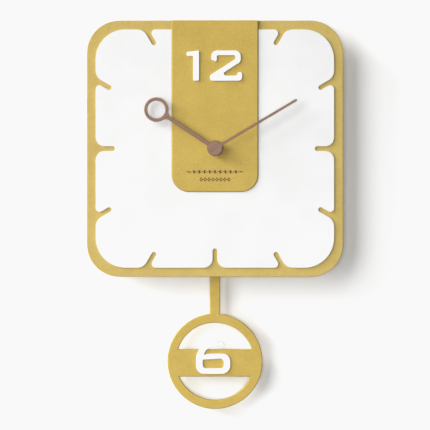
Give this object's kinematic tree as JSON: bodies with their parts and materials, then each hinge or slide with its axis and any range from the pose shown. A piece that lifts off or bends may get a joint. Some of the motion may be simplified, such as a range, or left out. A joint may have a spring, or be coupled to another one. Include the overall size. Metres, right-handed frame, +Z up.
{
  "type": "pendulum wall clock",
  "caption": "Rounded square wall clock with raised numerals, walnut hands and a ring pendulum on a battery quartz movement.",
  "frame": {"origin": "centre of the hanging hole, in the plane of the wall", "axes": "+Z up, +Y into the wall, +X to the right of someone facing the dial; the dial faces -Y"},
  "size_m": [0.3, 0.046, 0.456],
  "materials": {
    "gold_board": "fine satin gold paint on fibreboard",
    "white_board": "matte white lacquer on fibreboard",
    "walnut": "oiled walnut, fine grain",
    "case_plastic": "fine moulded texture",
    "cover_plastic": "fine moulded texture",
    "gear_plastic": "natural moulded plastic",
    "bobbin_plastic": "moulded plastic",
    "brass": "turned, satin",
    "steel": "plated, satin",
    "contact_metal": "nickel plated",
    "rubber": "matte",
    "copper_wire": "enamelled wire",
    "magnet": "sintered",
    "circuit_board": "solder mask",
    "chip": "moulded epoxy",
    "battery_can": "printed sleeve"
  },
  "bodies": {
    "clock": {"face_board": "gold_board", "dial_plate": "white_board", "centre_panel": "gold_board", "numeral_one": "white_board", "numeral_two": "white_board", "movement_case": "case_plastic", "movement_back_cover": "cover_plastic", "movement_plate": "bobbin_plastic", "cover_screws": "steel", "plate_screws": "steel", "threaded_post": "brass", "rubber_gasket": "rubber", "mounting_washer": "brass", "mounting_nut": "brass", "stator": "steel", "coil_bobbin": "bobbin_plastic", "coil_winding": "copper_wire", "circuit_board": "circuit_board", "quartz_crystal": "steel", "control_chip": "chip", "battery": "battery_can", "battery_contact_positive": "contact_metal", "battery_contact_negative": "contact_metal", "pendulum_pivot_pin": "steel", "drive_coil_bobbin": "bobbin_plastic", "drive_coil_winding": "copper_wire"},
    "minute": {"minute_hand": "walnut", "minute_hand_bushing": "brass", "minute_arbor": "brass", "clutch_washer": "brass"},
    "hour": {"hour_hand": "walnut", "hour_hand_bushing": "brass", "hour_wheel": "gear_plastic"},
    "motion": {"motion_wheel": "gear_plastic"},
    "knob": {"setting_knob": "cover_plastic"},
    "rotor": {"rotor_pinion": "gear_plastic", "rotor_magnet": "magnet"},
    "intermediate": {"intermediate_wheel": "gear_plastic"},
    "seconds": {"seconds_wheel": "gear_plastic"},
    "third": {"third_wheel": "gear_plastic"},
    "centre": {"centre_wheel": "gear_plastic"},
    "pendulum": {"pendulum_ring": "gold_board", "numeral_six": "white_board", "pendulum_lever": "bobbin_plastic", "pendulum_magnet": "magnet", "pendulum_hanger_pin": "steel"}
  },
  "joints": [
    {"name": "minute_hand_spin", "type": "hinge", "parent": "clock", "child": "minute", "pos_m": [0, -0.03, -0.038], "axis": [0, 1, 0], "continuous": true},
    {"name": "hour_hand_spin", "type": "hinge", "parent": "clock", "child": "hour", "pos_m": [0, -0.03, -0.038], "axis": [0, 1, 0], "continuous": true},
    {"name": "motion_wheel_spin", "type": "hinge", "parent": "clock", "child": "motion", "pos_m": [0.0096, -0.015, -0.038], "axis": [0, 1, 0], "continuous": true},
    {"name": "setting_knob_spin", "type": "hinge", "parent": "clock", "child": "knob", "pos_m": [0.0192, -0.008, -0.038], "axis": [0, 1, 0], "continuous": true},
    {"name": "rotor_spin", "type": "hinge", "parent": "clock", "child": "rotor", "pos_m": [-0.01334, -0.006, -0.04286], "axis": [0, 1, 0], "continuous": true},
    {"name": "intermediate_wheel_spin", "type": "hinge", "parent": "clock", "child": "intermediate", "pos_m": [-0.00677, -0.008, -0.04046], "axis": [0, 1, 0], "continuous": true},
    {"name": "seconds_wheel_spin", "type": "hinge", "parent": "clock", "child": "seconds", "pos_m": [0, -0.009, -0.038], "axis": [0, 1, 0], "continuous": true},
    {"name": "third_wheel_spin", "type": "hinge", "parent": "clock", "child": "third", "pos_m": [-0.0054, -0.011, -0.02865], "axis": [0, 1, 0], "continuous": true},
    {"name": "centre_wheel_spin", "type": "hinge", "parent": "clock", "child": "centre", "pos_m": [0, -0.0127, -0.038], "axis": [0, 1, 0], "continuous": true},
    {"name": "pendulum_swing", "type": "hinge", "parent": "clock", "child": "pendulum", "pos_m": [0, -0.011, -0.074], "axis": [0, 1, 0], "range_deg": [-8, 8]}
  ],
  "couplings": [
    {"joint": "hour_hand_spin", "follows": "minute_hand_spin", "ratio": 0.083333},
    {"joint": "motion_wheel_spin", "follows": "minute_hand_spin", "ratio": -0.33333},
    {"joint": "setting_knob_spin", "follows": "minute_hand_spin", "ratio": 1},
    {"joint": "intermediate_wheel_spin", "follows": "rotor_spin", "ratio": -0.16667},
    {"joint": "seconds_wheel_spin", "follows": "rotor_spin", "ratio": 0.033333},
    {"joint": "third_wheel_spin", "follows": "rotor_spin", "ratio": -0.0041667},
    {"joint": "centre_wheel_spin", "follows": "rotor_spin", "ratio": 0.00055556}
  ]
}
